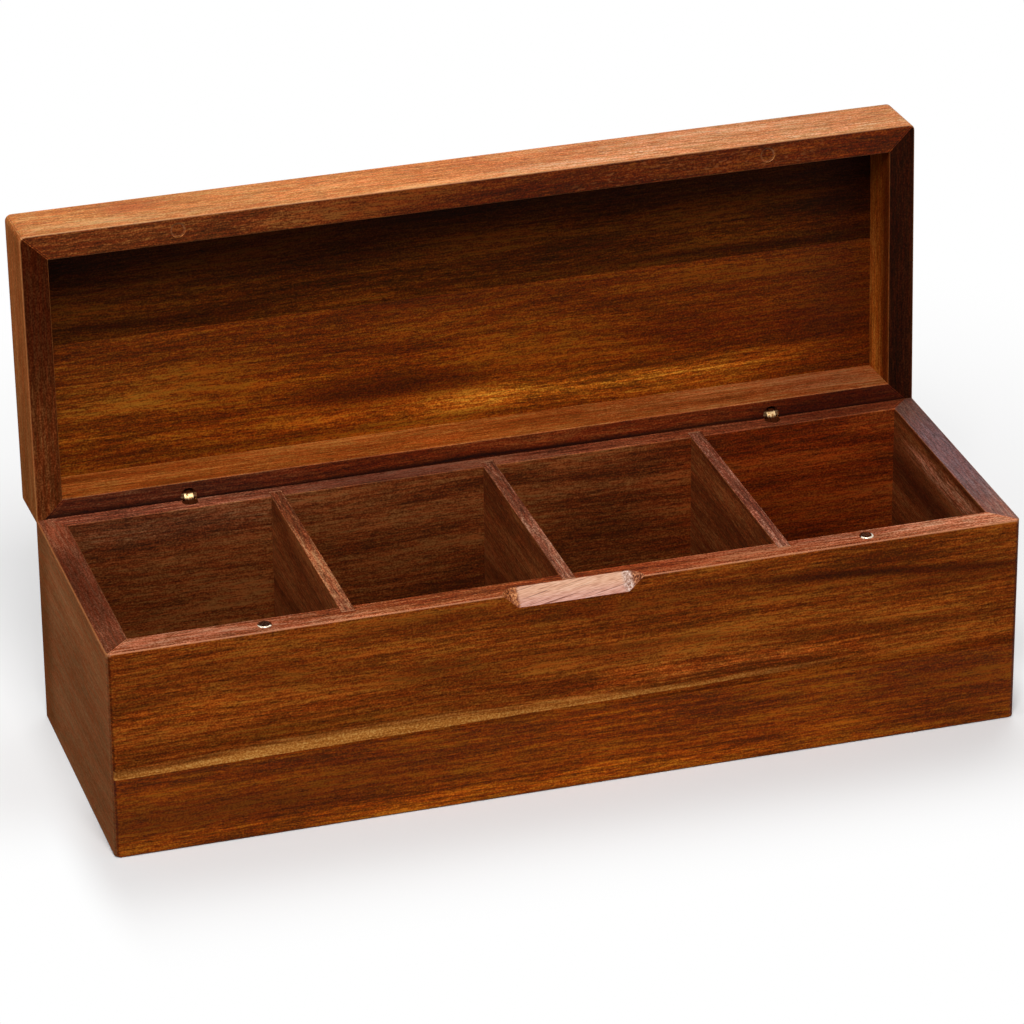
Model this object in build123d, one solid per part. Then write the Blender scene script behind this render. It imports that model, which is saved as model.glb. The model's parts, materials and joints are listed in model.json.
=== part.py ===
from build123d import *
import os
from math import copysign, cos, radians, sin, tan

# A hinged wooden tea bag organizer box with four compartments in a row and a framed lid.
#
# Millimetres. The origin is the centre of the box's underside: +X runs along the length,
# -Y is the front and +Z is up. Base and lid are both drawn upwards from the rim plane where
# they meet. The base is then turned over onto that plane, and the lid is set on it and
# swung open about the hinge line, because the box is stored open.

# Base and lid
LENGTH = 340.0
DEPTH = 113.0
BASE_HEIGHT = 81.0
LID_HEIGHT = 25.0
WALL = 10.0
PANEL = 5.0  # thickness of the bottom and of the lid's panel
REBATE = 5.0  # how far a panel is let into the frame around it
CORNER_RADIUS = 2.5
RIM_ROUND = 0.7  # outer edge of the rims
MOUTH_ROUND = 0.5  # inner edge of the rims
LID_TOP_ROUND = 0.8
UNDERSIDE_ROUND = 0.4
FRONT_GLUE_LINE = 31.0  # height of the seam between the front wall's two strips
LID_GLUE_LINE = 51.0  # seam between the lid panel's two strips, behind the lid's front face

# Dividers
DIVIDER_COUNT = 3
DIVIDER_SPACING = 81.25
DIVIDER_THICKNESS = 5.0
DADO_DEPTH = 4.0  # how far a divider is let into the front and back walls
DIVIDER_ROUND = 0.3

# Finger scoop in the front wall's top edge
SCOOP_HALF_STRAIGHT = 20.5
SCOOP_INTO_RIM = 5.8
SCOOP_DOWN_FACE = 5.6

# Magnetic catch
CATCH_X = 112.0
CATCH_INSET = 4.8  # from the front face to the magnets' axis
MAGNET_RADIUS = 2.65
MAGNET_THICKNESS = 2.8
MAGNET_PROUD = 0.5  # the base magnets stand this far over the rim
MAGNET_ROUND = 0.3
PLUG_RADIUS = 2.85
PLUG_THICKNESS = 1.2  # wooden plug over each lid magnet
PLUG_RECESS = 0.6  # the plugs lie this far in the lid's rim and take up the base magnets

# Hinges
OPEN_ANGLE = 92.5
HINGE_X = 113.0
HINGE_INSET = 2.9  # from the back face to the hinge line, where the back bevels begin
BEVEL_ROUND = 0.4
BARREL_INSET = 4.5  # from the back face to the barrels' axis
BARREL_RADIUS = 3.0
BARREL_LENGTH = 12.0
BARREL_RECESS = 0.3  # the barrels' mouths lie this far under the rim and the bevel
SLOT_WIDTH = 3.4
SLOT_DEPTH = 5.4
PIN_RADIUS = 0.5
PIN_LENGTH = 5.6
PIN_AHEAD = 2.1  # pins in front of the hinge line
PIN_DEPTH = 1.6  # pins under the rim plane
PIN_CLEARANCE = 0.05
PLATE_GAP = 0.05
MIDDLE_PLATE_THICKNESS = 1.6
SIDE_PLATE_THICKNESS = 0.8
PLATE_BACK = 1.0  # plate behind the line through both pins
PLATE_END = 1.2  # plate past the outermost pin position
MIDDLE_PLATE_FRONT = 1.3
MIDDLE_PLATE_ROUND = 1.1
SIDE_PLATE_FRONT = 0.8
SIDE_PLATE_ROUND = 0.6
PLATE_BACK_ROUND = 0.4

# Derived values
FRONT_Y = -DEPTH / 2
BACK_Y = DEPTH / 2
INNER_LENGTH = LENGTH - 2 * WALL
INNER_DEPTH = DEPTH - 2 * WALL
HALF_OPEN = OPEN_ANGLE / 2
HINGE_Y = BACK_Y - HINGE_INSET
BARREL_Y = BACK_Y - BARREL_INSET
PIN_Y = HINGE_Y - PIN_AHEAD
CATCH_Y = FRONT_Y + CATCH_INSET
HINGE_LINE = Axis((0, HINGE_Y, BASE_HEIGHT), (1, 0, 0))
CUT_MARGIN = 1.0  # how far a cutting body runs past the wood

UPWARDS = (Align.CENTER, Align.CENTER, Align.MIN)
SIDES = {"left": -1, "right": 1}

parts = {}


def onto_base(shape):
    """Turn a shape drawn up from the rim plane over into the base."""
    return Pos(0, 0, BASE_HEIGHT) * mirror(shape, about=Plane.XY)


def onto_lid(shape):
    """Set a shape drawn up from the rim plane on the base and swing it open with the lid."""
    return (Pos(0, 0, BASE_HEIGHT) * shape).rotate(HINGE_LINE, -OPEN_ANGLE)


def back_bevel():
    """Cutter for the back edge of a rim: both bevels meet and stop the open lid."""
    bevel = radians(HALF_OPEN)
    reach = HINGE_INSET + CUT_MARGIN
    tangent = BEVEL_ROUND * tan(bevel / 2)
    rim_end = (0, HINGE_Y - tangent, 0)
    bevel_start = (0, HINGE_Y + tangent * cos(bevel), tangent * sin(bevel))
    beyond = (0, HINGE_Y + reach, reach * tan(bevel))
    section = (
        TangentArc(rim_end, bevel_start, tangent=(0, 1, 0))
        + Line(bevel_start, beyond)
        + Polyline(beyond, (0, HINGE_Y + reach, -CUT_MARGIN), (0, rim_end[1], -CUT_MARGIN), rim_end)
    )
    return extrude(make_face(section), LENGTH / 2 + CUT_MARGIN, dir=(1, 0, 0), both=True)


def frame_ring(height, far_round):
    """All four walls in one ring on the rim plane, rebated for a panel at the far side."""
    outline = RectangleRounded(LENGTH, DEPTH, CORNER_RADIUS)
    ring = extrude(outline, height)
    ring = fillet(ring.faces().sort_by(Axis.Z)[0].edges(), RIM_ROUND)
    ring = fillet(ring.faces().sort_by(Axis.Z)[-1].edges(), far_round)
    ring -= extrude(Rectangle(INNER_LENGTH, INNER_DEPTH), height)
    rim = ring.faces().sort_by(Axis.Z)[0]
    ring = fillet(rim.inner_wires()[0].edges(), MOUTH_ROUND)
    return ring - back_bevel() - Pos(0, 0, height - PANEL) * panel()


def panel():
    """Board that fills the rebate of a ring, standing on the XY plane."""
    return extrude(Rectangle(INNER_LENGTH + 2 * REBATE, INNER_DEPTH + 2 * REBATE), PANEL)


def mitred_wall(ring, start_corner, end_corner):
    """The ring's wall between two corners, given as signs, cut at 45 degrees at each end."""
    outer = [
        (sign_x * (LENGTH / 2 + CUT_MARGIN), sign_y * (DEPTH / 2 + CUT_MARGIN))
        for sign_x, sign_y in (start_corner, end_corner)
    ]
    inset = WALL + 2 * CUT_MARGIN
    inner = [(x - copysign(inset, x), y - copysign(inset, y)) for x, y in reversed(outer)]
    trapezium = make_face(Polyline(*outer, *inner, close=True))
    return ring & extrude(trapezium, ring.bounding_box().max.Z)


def slab(low, high, axis):
    """Block across the whole box between two places on one axis, for parting a board."""
    size = {"Y": 2 * DEPTH, "Z": 2 * BASE_HEIGHT}
    size[axis] = high - low
    middle = {"Y": 0, "Z": 0}
    middle[axis] = (low + high) / 2
    return Pos(0, middle["Y"], middle["Z"]) * Box(2 * LENGTH, size["Y"], size["Z"])


def divider_places():
    """X of each divider, from left to right."""
    first = -DIVIDER_SPACING * (DIVIDER_COUNT - 1) / 2
    return [first + number * DIVIDER_SPACING for number in range(DIVIDER_COUNT)]


def divider():
    """One divider on the rim plane, let into both long walls."""
    height = BASE_HEIGHT - PANEL
    board = Box(DIVIDER_THICKNESS, INNER_DEPTH + 2 * DADO_DEPTH, height, align=UPWARDS)
    top = board.faces().sort_by(Axis.Z)[0]
    return fillet(top.edges().filter_by(Axis.Y), DIVIDER_ROUND)


def dados():
    """Slots for the dividers' ends in the front and back walls."""
    cutter = Box(
        DIVIDER_THICKNESS, INNER_DEPTH + 2 * DADO_DEPTH, BASE_HEIGHT - PANEL, align=UPWARDS
    )
    return [Pos(x, 0, 0) * cutter for x in divider_places()]


def finger_scoop():
    """Cutter for a bevel in the rim's front edge that runs out in a quarter cone at each end."""
    slope = SCOOP_INTO_RIM / SCOOP_DOWN_FACE
    reach = SCOOP_INTO_RIM + CUT_MARGIN * slope
    section = Polyline(
        (0, FRONT_Y + reach, -CUT_MARGIN),
        (0, FRONT_Y, SCOOP_DOWN_FACE),
        (0, FRONT_Y - CUT_MARGIN, SCOOP_DOWN_FACE),
        (0, FRONT_Y - CUT_MARGIN, -CUT_MARGIN),
        close=True,
    )
    cutter = extrude(make_face(section), SCOOP_HALF_STRAIGHT, dir=(1, 0, 0), both=True)
    cone = Cone(reach, 0, SCOOP_DOWN_FACE + CUT_MARGIN, align=UPWARDS)
    for sign in SIDES.values():
        cutter += Pos(sign * SCOOP_HALF_STRAIGHT, FRONT_Y, -CUT_MARGIN) * cone
    return cutter


def disc(radius, thickness):
    """Disc on the XY plane."""
    return Cylinder(radius, thickness, align=UPWARDS)


def magnet():
    """Disc magnet with softened edges, standing on the XY plane."""
    return fillet(disc(MAGNET_RADIUS, MAGNET_THICKNESS).edges(), MAGNET_ROUND)


def pin(radius, length):
    """Cylinder along X at the place of a hinge pin."""
    return Pos(0, PIN_Y, PIN_DEPTH) * Rot(0, 90, 0) * Cylinder(radius, length)


def hinge_barrel():
    """Barrel with its mouth at the rim plane, slotted for the plates and bored for a pin."""
    # The quarter turn keeps the cylinder's seam clear of the pin holes.
    barrel = Rot(0, 0, 90) * disc(BARREL_RADIUS, BARREL_LENGTH - BARREL_RECESS)
    barrel = Pos(0, BARREL_Y, BARREL_RECESS) * barrel
    bevel = radians(HALF_OPEN)
    mouth = Plane((0, HINGE_Y, BARREL_RECESS), x_dir=(1, 0, 0), z_dir=(0, -sin(bevel), cos(bevel)))
    barrel = split(barrel, bisect_by=mouth, keep=Keep.TOP)
    barrel -= Pos(0, BARREL_Y, 0) * Box(SLOT_WIDTH, 3 * BARREL_RADIUS, SLOT_DEPTH, align=UPWARDS)
    return barrel - pin(PIN_RADIUS, 3 * BARREL_RADIUS)


def link_plate(thickness, front, front_round):
    """Hinge plate of the closed box: a round hole for the base's pin, a slot for the lid's."""
    closed_span = 2 * PIN_DEPTH
    open_span = 2 * (PIN_DEPTH * cos(radians(HALF_OPEN)) + PIN_AHEAD * sin(radians(HALF_OPEN)))
    width = front + PLATE_BACK
    height = open_span + 2 * PLATE_END
    middle_y = (PLATE_BACK - front) / 2
    plate = Pos(0, middle_y, open_span / 2) * Box(thickness, width, height)
    long_edges = plate.edges().filter_by(Axis.X).sort_by(Axis.Y)
    plate = fillet(long_edges[:2], front_round)
    long_edges = plate.edges().filter_by(Axis.X).sort_by(Axis.Y)
    plate = fillet(long_edges[-2:], PLATE_BACK_ROUND)
    hole_radius = PIN_RADIUS + PIN_CLEARANCE
    bore = Rot(0, 90, 0) * Cylinder(hole_radius, thickness + CUT_MARGIN)
    plate -= bore
    plate -= Pos(0, 0, closed_span) * bore
    plate -= Pos(0, 0, open_span) * bore
    travel = open_span - closed_span
    slot = Box(thickness + CUT_MARGIN, 2 * hole_radius, travel)
    return plate - Pos(0, 0, closed_span + travel / 2) * slot


def link_plates():
    """One thick plate between two thin ones, turned to the half-open angle on the base's pin."""
    middle = link_plate(MIDDLE_PLATE_THICKNESS, MIDDLE_PLATE_FRONT, MIDDLE_PLATE_ROUND)
    side = link_plate(SIDE_PLATE_THICKNESS, SIDE_PLATE_FRONT, SIDE_PLATE_ROUND)
    side_x = (MIDDLE_PLATE_THICKNESS + SIDE_PLATE_THICKNESS) / 2 + PLATE_GAP
    plates = [middle] + [Pos(sign * side_x, 0, 0) * side for sign in SIDES.values()]
    turned = [plate.rotate(Axis.X, -HALF_OPEN) for plate in plates]
    return Pos(0, PIN_Y, BASE_HEIGHT - PIN_DEPTH) * Compound(children=turned)


# Base boards
front_corners = ((-1, -1), (1, -1))
back_corners = ((-1, 1), (1, 1))
left_corners = ((-1, -1), (-1, 1))
right_corners = ((1, -1), (1, 1))
hinge_bore = disc(BARREL_RADIUS, BARREL_LENGTH)
magnet_pocket = disc(MAGNET_RADIUS, MAGNET_THICKNESS - MAGNET_PROUD)
base_ring = frame_ring(BASE_HEIGHT, UNDERSIDE_ROUND)

front_wall = mitred_wall(base_ring, *front_corners) - dados() - finger_scoop()
back_wall = mitred_wall(base_ring, *back_corners) - dados()
for sign in SIDES.values():
    front_wall -= Pos(sign * CATCH_X, CATCH_Y, 0) * magnet_pocket
    back_wall -= Pos(sign * HINGE_X, BARREL_Y, 0) * hinge_bore
front_wall = onto_base(front_wall)
parts["front_wall_upper"] = front_wall & slab(FRONT_GLUE_LINE, BASE_HEIGHT, "Z")
parts["front_wall_lower"] = front_wall & slab(0, FRONT_GLUE_LINE, "Z")
parts["back_wall"] = onto_base(back_wall)
parts["left_wall"] = onto_base(mitred_wall(base_ring, *left_corners))
parts["right_wall"] = onto_base(mitred_wall(base_ring, *right_corners))
parts["bottom_panel"] = panel()
for name, x in zip(("left", "middle", "right"), divider_places()):
    parts[f"divider_{name}"] = onto_base(Pos(x, 0, 0) * divider())

# Lid boards
plug_floor = PLUG_RECESS + PLUG_THICKNESS
plug_pocket = disc(PLUG_RADIUS, plug_floor) + Pos(0, 0, plug_floor) * disc(MAGNET_RADIUS, MAGNET_THICKNESS)
lid_ring = frame_ring(LID_HEIGHT, LID_TOP_ROUND)
lid_front_rail = mitred_wall(lid_ring, *front_corners)
lid_back_rail = mitred_wall(lid_ring, *back_corners)
for sign in SIDES.values():
    lid_front_rail -= Pos(sign * CATCH_X, CATCH_Y, 0) * plug_pocket
    lid_back_rail -= Pos(sign * HINGE_X, BARREL_Y, 0) * hinge_bore
parts["lid_front_rail"] = onto_lid(lid_front_rail)
parts["lid_back_rail"] = onto_lid(lid_back_rail)
parts["lid_left_rail"] = onto_lid(mitred_wall(lid_ring, *left_corners))
parts["lid_right_rail"] = onto_lid(mitred_wall(lid_ring, *right_corners))
lid_panel = Pos(0, 0, LID_HEIGHT - PANEL) * panel()
lid_seam_y = FRONT_Y + LID_GLUE_LINE
parts["lid_panel_front"] = onto_lid(lid_panel & slab(FRONT_Y, lid_seam_y, "Y"))
parts["lid_panel_back"] = onto_lid(lid_panel & slab(lid_seam_y, BACK_Y, "Y"))

# Magnetic catch and hinges, one of each on either side
for name, sign in SIDES.items():
    at_catch = Pos(sign * CATCH_X, CATCH_Y, 0)
    parts[f"catch_magnet_{name}"] = onto_base(at_catch * Pos(0, 0, -MAGNET_PROUD) * magnet())
    parts[f"lid_magnet_{name}"] = onto_lid(at_catch * Pos(0, 0, plug_floor) * magnet())
    plug = Pos(0, 0, PLUG_RECESS) * disc(PLUG_RADIUS, PLUG_THICKNESS)
    parts[f"magnet_plug_{name}"] = onto_lid(at_catch * plug)
    at_hinge = Pos(sign * HINGE_X, 0, 0)
    parts[f"hinge_base_barrel_{name}"] = onto_base(at_hinge * hinge_barrel())
    parts[f"hinge_lid_barrel_{name}"] = onto_lid(at_hinge * hinge_barrel())
    parts[f"hinge_base_pin_{name}"] = onto_base(at_hinge * pin(PIN_RADIUS, PIN_LENGTH))
    parts[f"hinge_lid_pin_{name}"] = onto_lid(at_hinge * pin(PIN_RADIUS, PIN_LENGTH))
    parts[f"hinge_links_{name}"] = at_hinge * link_plates()

os.makedirs("parts", exist_ok=True)
for name, shape in parts.items():
    export_step(shape, f"parts/{name}.step")
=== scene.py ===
"""Looks of the tea bag organizer box: wood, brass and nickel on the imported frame, with light,
floor and camera.

Wood is worked out in millimetres in the closed box, so that a board keeps its grain from face
to face, and the lid's boards keep theirs while the lid stands open.
"""
import json
from math import pi, radians

import bpy
from mathutils import Euler, Matrix, Vector


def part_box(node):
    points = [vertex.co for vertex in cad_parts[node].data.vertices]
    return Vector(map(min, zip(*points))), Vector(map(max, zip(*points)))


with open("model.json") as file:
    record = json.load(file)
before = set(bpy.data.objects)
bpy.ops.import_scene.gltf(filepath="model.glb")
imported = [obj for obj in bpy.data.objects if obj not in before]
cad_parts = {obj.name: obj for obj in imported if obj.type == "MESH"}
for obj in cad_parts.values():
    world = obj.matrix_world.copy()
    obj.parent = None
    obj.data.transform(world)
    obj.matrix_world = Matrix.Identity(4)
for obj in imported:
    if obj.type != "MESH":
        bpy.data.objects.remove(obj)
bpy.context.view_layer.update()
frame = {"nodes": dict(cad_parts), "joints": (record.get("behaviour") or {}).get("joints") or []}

MM = 1000.0  # millimetres in a metre, the unit of the frame

# Places in the closed box, in millimetres
joints = {joint["name"]: joint for joint in frame["joints"]}
HINGE = Vector(joints["lid_hinge"]["pos_m"])
OPEN_ANGLE = radians(joints["lid_hinge"]["range_deg"][1])
front_low, front_high = (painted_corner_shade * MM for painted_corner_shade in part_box("front_wall_upper"))
HALF_LENGTH = front_high.x
FRONT = front_low.y
RIM = front_high.z
SEAM = front_low.z
HALF_DEPTH = -FRONT
WALL = front_high.y - front_low.y
DIVIDER_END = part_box("divider_middle")[1].y * MM
plug_low, plug_high = (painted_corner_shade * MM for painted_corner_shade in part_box("magnet_plug_right"))
PLUG_X = (plug_low.x + plug_high.x) / 2
PLUG_RADIUS = (plug_high.x - plug_low.x) / 2
magnet_low, magnet_high = (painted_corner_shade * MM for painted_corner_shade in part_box("catch_magnet_right"))
PLUG_Y = (magnet_low.y + magnet_high.y) / 2  # the plug lies on the magnet in the closed box
MAGNET_RADIUS = (magnet_high.x - magnet_low.x) / 2
SCOOP_HALF_LENGTH = 27.0  # a little more than the scoop's reach to each side of the middle
SCOOP_DEPTH = 6.0
CUT_IN = 0.06  # a surface this far inside the front and the rim belongs to the scoop


def srgb(red, green, blue):
    """Linear colour with full alpha from 0 to 255 screen values."""
    def linear(value):
        value /= 255
        return value / 12.92 if value <= 0.04045 else ((value + 0.055) / 1.055) ** 2.4
    return (linear(red), linear(green), linear(blue), 1.0)


LATTICE_TURN = (0.7, 0.5, 0.9)  # keeps the noise's square lattice from showing as upright lines


class Shader:
    """Material being built: each method adds one kind of node and gives its output."""

    def __init__(self, name):
        self.material = bpy.data.materials.new(name)
        self.material.use_nodes = True
        self.nodes = self.material.node_tree.nodes
        self.links = self.material.node_tree.links
        self.surface = self.nodes["Principled BSDF"].inputs

    def put(self, socket, value):
        """Link an output to a socket, or set the socket to a plain value."""
        if isinstance(value, bpy.types.NodeSocket):
            self.links.new(value, socket)
        else:
            socket.default_value = value

    def node(self, kind, inputs=(), **settings):
        """New node with its settings, and its inputs filled by name or number."""
        node = self.nodes.new("ShaderNode" + kind)
        for name, value in settings.items():
            setattr(node, name, value)
        pairs = inputs.items() if isinstance(inputs, dict) else enumerate(inputs)
        for key, value in pairs:
            self.put(node.inputs[key], value)
        return node

    def math(self, operation, *values):
        return self.node("Math", values, operation=operation).outputs[0]

    def times(self, *values):
        """Product of all the values."""
        product = values[0]
        for value in values[1:]:
            product = self.math("MULTIPLY", product, value)
        return product

    def vector(self, operation, *values):
        return self.node("VectorMath", values, operation=operation).outputs[0]

    def between(self, value, low, high):
        """0 below low, 1 above high, smooth in between; falling if low is the larger."""
        node = self.node("MapRange", (value, low, high, 0.0, 1.0), interpolation_type="SMOOTHSTEP")
        return node.outputs[0]

    def mix(self, factor, first, second):
        """From the first colour to the second."""
        node = self.node("Mix", {0: factor, 6: first, 7: second}, data_type="RGBA")
        return node.outputs[2]

    def tint(self, factor, colour, by):
        """Colour multiplied by a triple or by another colour where the factor is 1."""
        if not isinstance(by, bpy.types.NodeSocket):
            by = (*by, 1.0)
        node = self.node("Mix", {0: factor, 6: colour, 7: by}, data_type="RGBA",
                         blend_type="MULTIPLY")
        return node.outputs[2]

    def noise(self, point, size, detail=2.0, roughness=0.5, seed=0.0):
        """Noise whose features measure about the given millimetres along X, Y and Z."""
        shift = (seed * 7.31, seed * 3.17, seed * 5.53)
        scale = tuple(1.0 / length for length in size)
        turned = self.node("Mapping", (point, shift, LATTICE_TURN, scale)).outputs[0]
        settings = {"Vector": turned, "Scale": 1.0, "Detail": detail, "Roughness": roughness}
        return self.node("TexNoise", settings).outputs[0]

    def tones(self, value, colours):
        """Colour ramp through a dark, a middle and a light tone."""
        ramp = self.node("ValToRGB", (value,))
        places = (0.12, 0.5, 0.88)
        stops = ramp.color_ramp.elements
        stops.new(places[1])
        for stop, place, colour in zip(stops, places, colours):
            stop.position = place
            stop.color = srgb(*colour)
        return ramp.outputs[0]


AXES = {"X": 0, "Y": 1, "Z": 2}


def closed_box(shader, in_lid):
    """Point in millimetres and normal, both as in the closed box."""
    at = shader.node("TexCoord").outputs
    turn = Euler((OPEN_ANGLE if in_lid else 0.0, 0.0, 0.0))
    shift = (HINGE - turn.to_matrix() @ HINGE) * MM
    point = shader.node("Mapping", (at["Object"], shift, tuple(turn), (MM, MM, MM)))
    normal = shader.node("Mapping", {0: at["Normal"], 2: tuple(turn)}, vector_type="VECTOR")
    return point.outputs[0], normal.outputs[0]


def facing(shader, normal, side):
    """1 on the faces that look to a side, such as -Y."""
    value = normal[AXES[side[1]]]
    if side[0] == "-":
        value = shader.math("MULTIPLY", value, -1.0)
    return shader.between(value, 0.62, 0.86)


def streak_mark(side, axes, at, size, tint, slope=0.0, broken=1.0):
    """Streak or patch on one side of a board.

    at and size are its middle and half size along and across, slope its rise along, tint what
    it multiplies the colour by, and broken how far the wood's own grain breaks it up.
    """
    return dict(side=side, axes=axes, at=at, size=size, tint=tint, slope=slope, broken=broken)


def mark_strength(shader, grain, normals, streaks, spec):
    """How strongly a mark covers a point: soft across, and full nearly to its ends."""
    along, across = (grain[AXES[axis]] for axis in spec["axes"])
    centre_along, centre_across = spec["at"]
    half_length, half_width = spec["size"]
    offset = shader.math("SUBTRACT", along, centre_along)
    line = shader.math("MULTIPLY_ADD", offset, spec["slope"], centre_across)
    length = shader.math("DIVIDE", offset, half_length)
    width = shader.math("DIVIDE", shader.math("SUBTRACT", across, line), half_width)
    ends = shader.math("POWER", shader.math("ABSOLUTE", length), 3.0)
    far = shader.math("MULTIPLY_ADD", width, width, ends)
    body = shader.math("EXPONENT", shader.times(far, -1.0))
    broken = shader.math("MULTIPLY_ADD", streaks, spec["broken"], 1.0 - 0.5 * spec["broken"])
    return shader.times(body, broken, facing(shader, normals, spec["side"]))


# Layers of noise in the wood: size of their features along the grain and across it, in millimetres
WANDERING = (90, 26, 26)
CLOUDS = (75, 10, 10)
STREAKS = (40, 1.2, 1.2)
FLECKS = (4.2, 0.55, 0.55)
SPECKLE = (0.7, 0.55, 0.55)
HUES = (9, 0.9, 0.9)
PORES = (4.2, 0.4, 0.4)

WANDER = 4.0  # millimetres that the grain wanders sideways in all
LESS_RED = (0.92, 1.07, 1.12, 1.0)
MORE_RED = (1.08, 0.93, 0.88, 1.0)
WOOD_RELIEF = 0.0001  # metres


def wood(name, along, tones, seed, in_lid=False, faces=None, marks=(), extras=(),
         edge_wear_and_highlight=(190, 120, 70), wear_and_highlight_strength=0.45, broad=1.0, streak=1.0, fleck=1.0, pores=0.6,
         specular=0.10, mitred=True):
    """Oiled wood of one board.

    tones are its dark, middle and light colour, and faces gives other tones to single sides.
    marks are streaks and patches of its own, and extras are functions that finish the colour.
    """
    shader = Shader(name)
    point, normal = closed_box(shader, in_lid)
    x, y, z = shader.node("SeparateXYZ", (point,)).outputs
    normals = shader.node("SeparateXYZ", (normal,)).outputs
    plain = (x, y, z) if along == "X" else (y, x, z)
    grain_point = shader.node("CombineXYZ", plain).outputs[0]

    # The grain wanders a little, and everything that follows it wanders along.
    wander = shader.noise(grain_point, WANDERING, 1.0, seed=seed + 0.4)
    drift = shader.math("MULTIPLY_ADD", wander, WANDER, -WANDER / 2)
    offset = shader.node("CombineXYZ", (0.0, drift, drift)).outputs[0]
    bent = shader.vector("ADD", grain_point, offset)
    bent_u, bent_v, bent_w = shader.node("SeparateXYZ", (bent,)).outputs
    grain = (bent_u, bent_v, bent_w) if along == "X" else (bent_v, bent_u, bent_w)

    clouds = shader.noise(bent, CLOUDS, 2.0, seed=seed)
    streaks = shader.noise(bent, STREAKS, 3.0, 0.6, seed + 1.1)
    flecks = shader.noise(bent, FLECKS, 2.0, 0.6, seed + 2.3)
    speckle = shader.noise(grain_point, SPECKLE, 0.0, seed=seed + 3.7)
    tone = 0.5
    for layer, weight in ((clouds, 1.2 * broad), (streaks, 1.05 * streak), (flecks, 0.95 * fleck),
                          (speckle, 0.8 * fleck)):
        centred = shader.math("MULTIPLY_ADD", layer, weight, -0.5 * weight)
        tone = shader.math("ADD", tone, centred)
    broken = shader.between(shader.math("MULTIPLY_ADD", streaks, 0.6, shader.times(flecks, 0.4)),
                            0.40, 0.60)

    colour = shader.tones(tone, tones)
    for side, own_tones in (faces or {}).items():
        colour = shader.mix(facing(shader, normals, side), colour, shader.tones(tone, own_tones))
    hue = shader.between(shader.noise(bent, HUES, 1.0, seed=seed + 7.7), 0.38, 0.62)
    colour = shader.tint(1.0, colour, shader.mix(hue, LESS_RED, MORE_RED))
    for spec in marks:
        strength = mark_strength(shader, grain, normals, broken, spec)
        colour = shader.tint(strength, colour, spec["tint"])

    pits = shader.noise(bent, PORES, 0.0, 0.5, seed + 5.9)
    pore_mask = shader.between(pits, 0.64, 0.74)
    colour = shader.tint(shader.times(pore_mask, pores), colour, PORE_SHADE)

    # The rim's rounded edges are lighter: partly wear, partly a painted highlight along their
    # rounding.
    sides = [shader.math("ABSOLUTE", part) for part in normals]
    flat = shader.math("MAXIMUM", shader.math("MAXIMUM", sides[0], sides[1]), sides[2])
    from_rim = shader.math("ABSOLUTE", shader.math("SUBTRACT", z, RIM))
    rim_edge = shader.between(from_rim, 1.4, 0.7)
    outward = shader.math("MAXIMUM", shader.times(shader.math("ABSOLUTE", x), 1 / HALF_LENGTH),
                          shader.times(shader.math("ABSOLUTE", y), 1 / HALF_DEPTH))
    outer = shader.math("MULTIPLY_ADD", shader.between(outward, 0.955, 0.98), 0.7, 0.3)
    edge_wear_and_highlight_mask = shader.times(shader.between(flat, 0.985, 0.90), rim_edge, outer, wear_and_highlight_strength)
    colour = shader.mix(edge_wear_and_highlight_mask, colour, srgb(*edge_wear_and_highlight))
    if mitred:
        colour = mitre_lines(shader, colour, (x, y), sides[2], rim_edge)
    if mitred and not in_lid:
        # Painted shade: the base's other edges, such as its upright corners, are a little darker.
        below_rim = shader.math("SUBTRACT", 1.0, shader.between(from_rim, 2.4, 0.8))
        painted_corner_shade = shader.times(shader.between(flat, 0.998, 0.86), below_rim, 0.8)
        colour = shader.tint(painted_corner_shade, colour, CORNER_SHADE)

    for extra in extras:
        colour = extra(shader, colour, (x, y, z), normals, streaks, speckle)

    shader.put(shader.surface["Base Color"], colour)
    dull = shader.math("MULTIPLY_ADD", flecks, -0.30, 0.70)
    shader.put(shader.surface["Roughness"], dull)
    shader.put(shader.surface["Specular IOR Level"], specular)
    relief = shader.math("SUBTRACT", shader.times(flecks, 0.5), pore_mask)
    bump = shader.node("Bump", {"Strength": 0.35, "Distance": WOOD_RELIEF, "Height": relief})
    shader.put(shader.surface["Normal"], bump.outputs[0])
    return shader.material


def mitre_lines(shader, colour, place, upright, rim_edge):
    """Mitres show as a fine dark line, with a pale one beside it on the rim."""
    x, y = place
    from_end = shader.math("SUBTRACT", HALF_LENGTH, shader.math("ABSOLUTE", x))
    from_side = shader.math("SUBTRACT", HALF_DEPTH, shader.math("ABSOLUTE", y))
    joint = shader.math("ABSOLUTE", shader.math("SUBTRACT", from_end, from_side))
    on_rim = shader.between(upright, 0.7, 0.9)
    on_corner = shader.times(shader.between(from_end, 4.0, 3.0), 0.5)
    pale = shader.times(shader.between(joint, 0.9, 0.45), on_rim, rim_edge, 0.4)
    colour = shader.tint(pale, colour, MITRE_PALE)
    dark = shader.times(shader.between(joint, 0.4, 0.15), shader.math("MAXIMUM", on_rim, on_corner))
    return shader.tint(dark, colour, MITRE_DARK)


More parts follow.
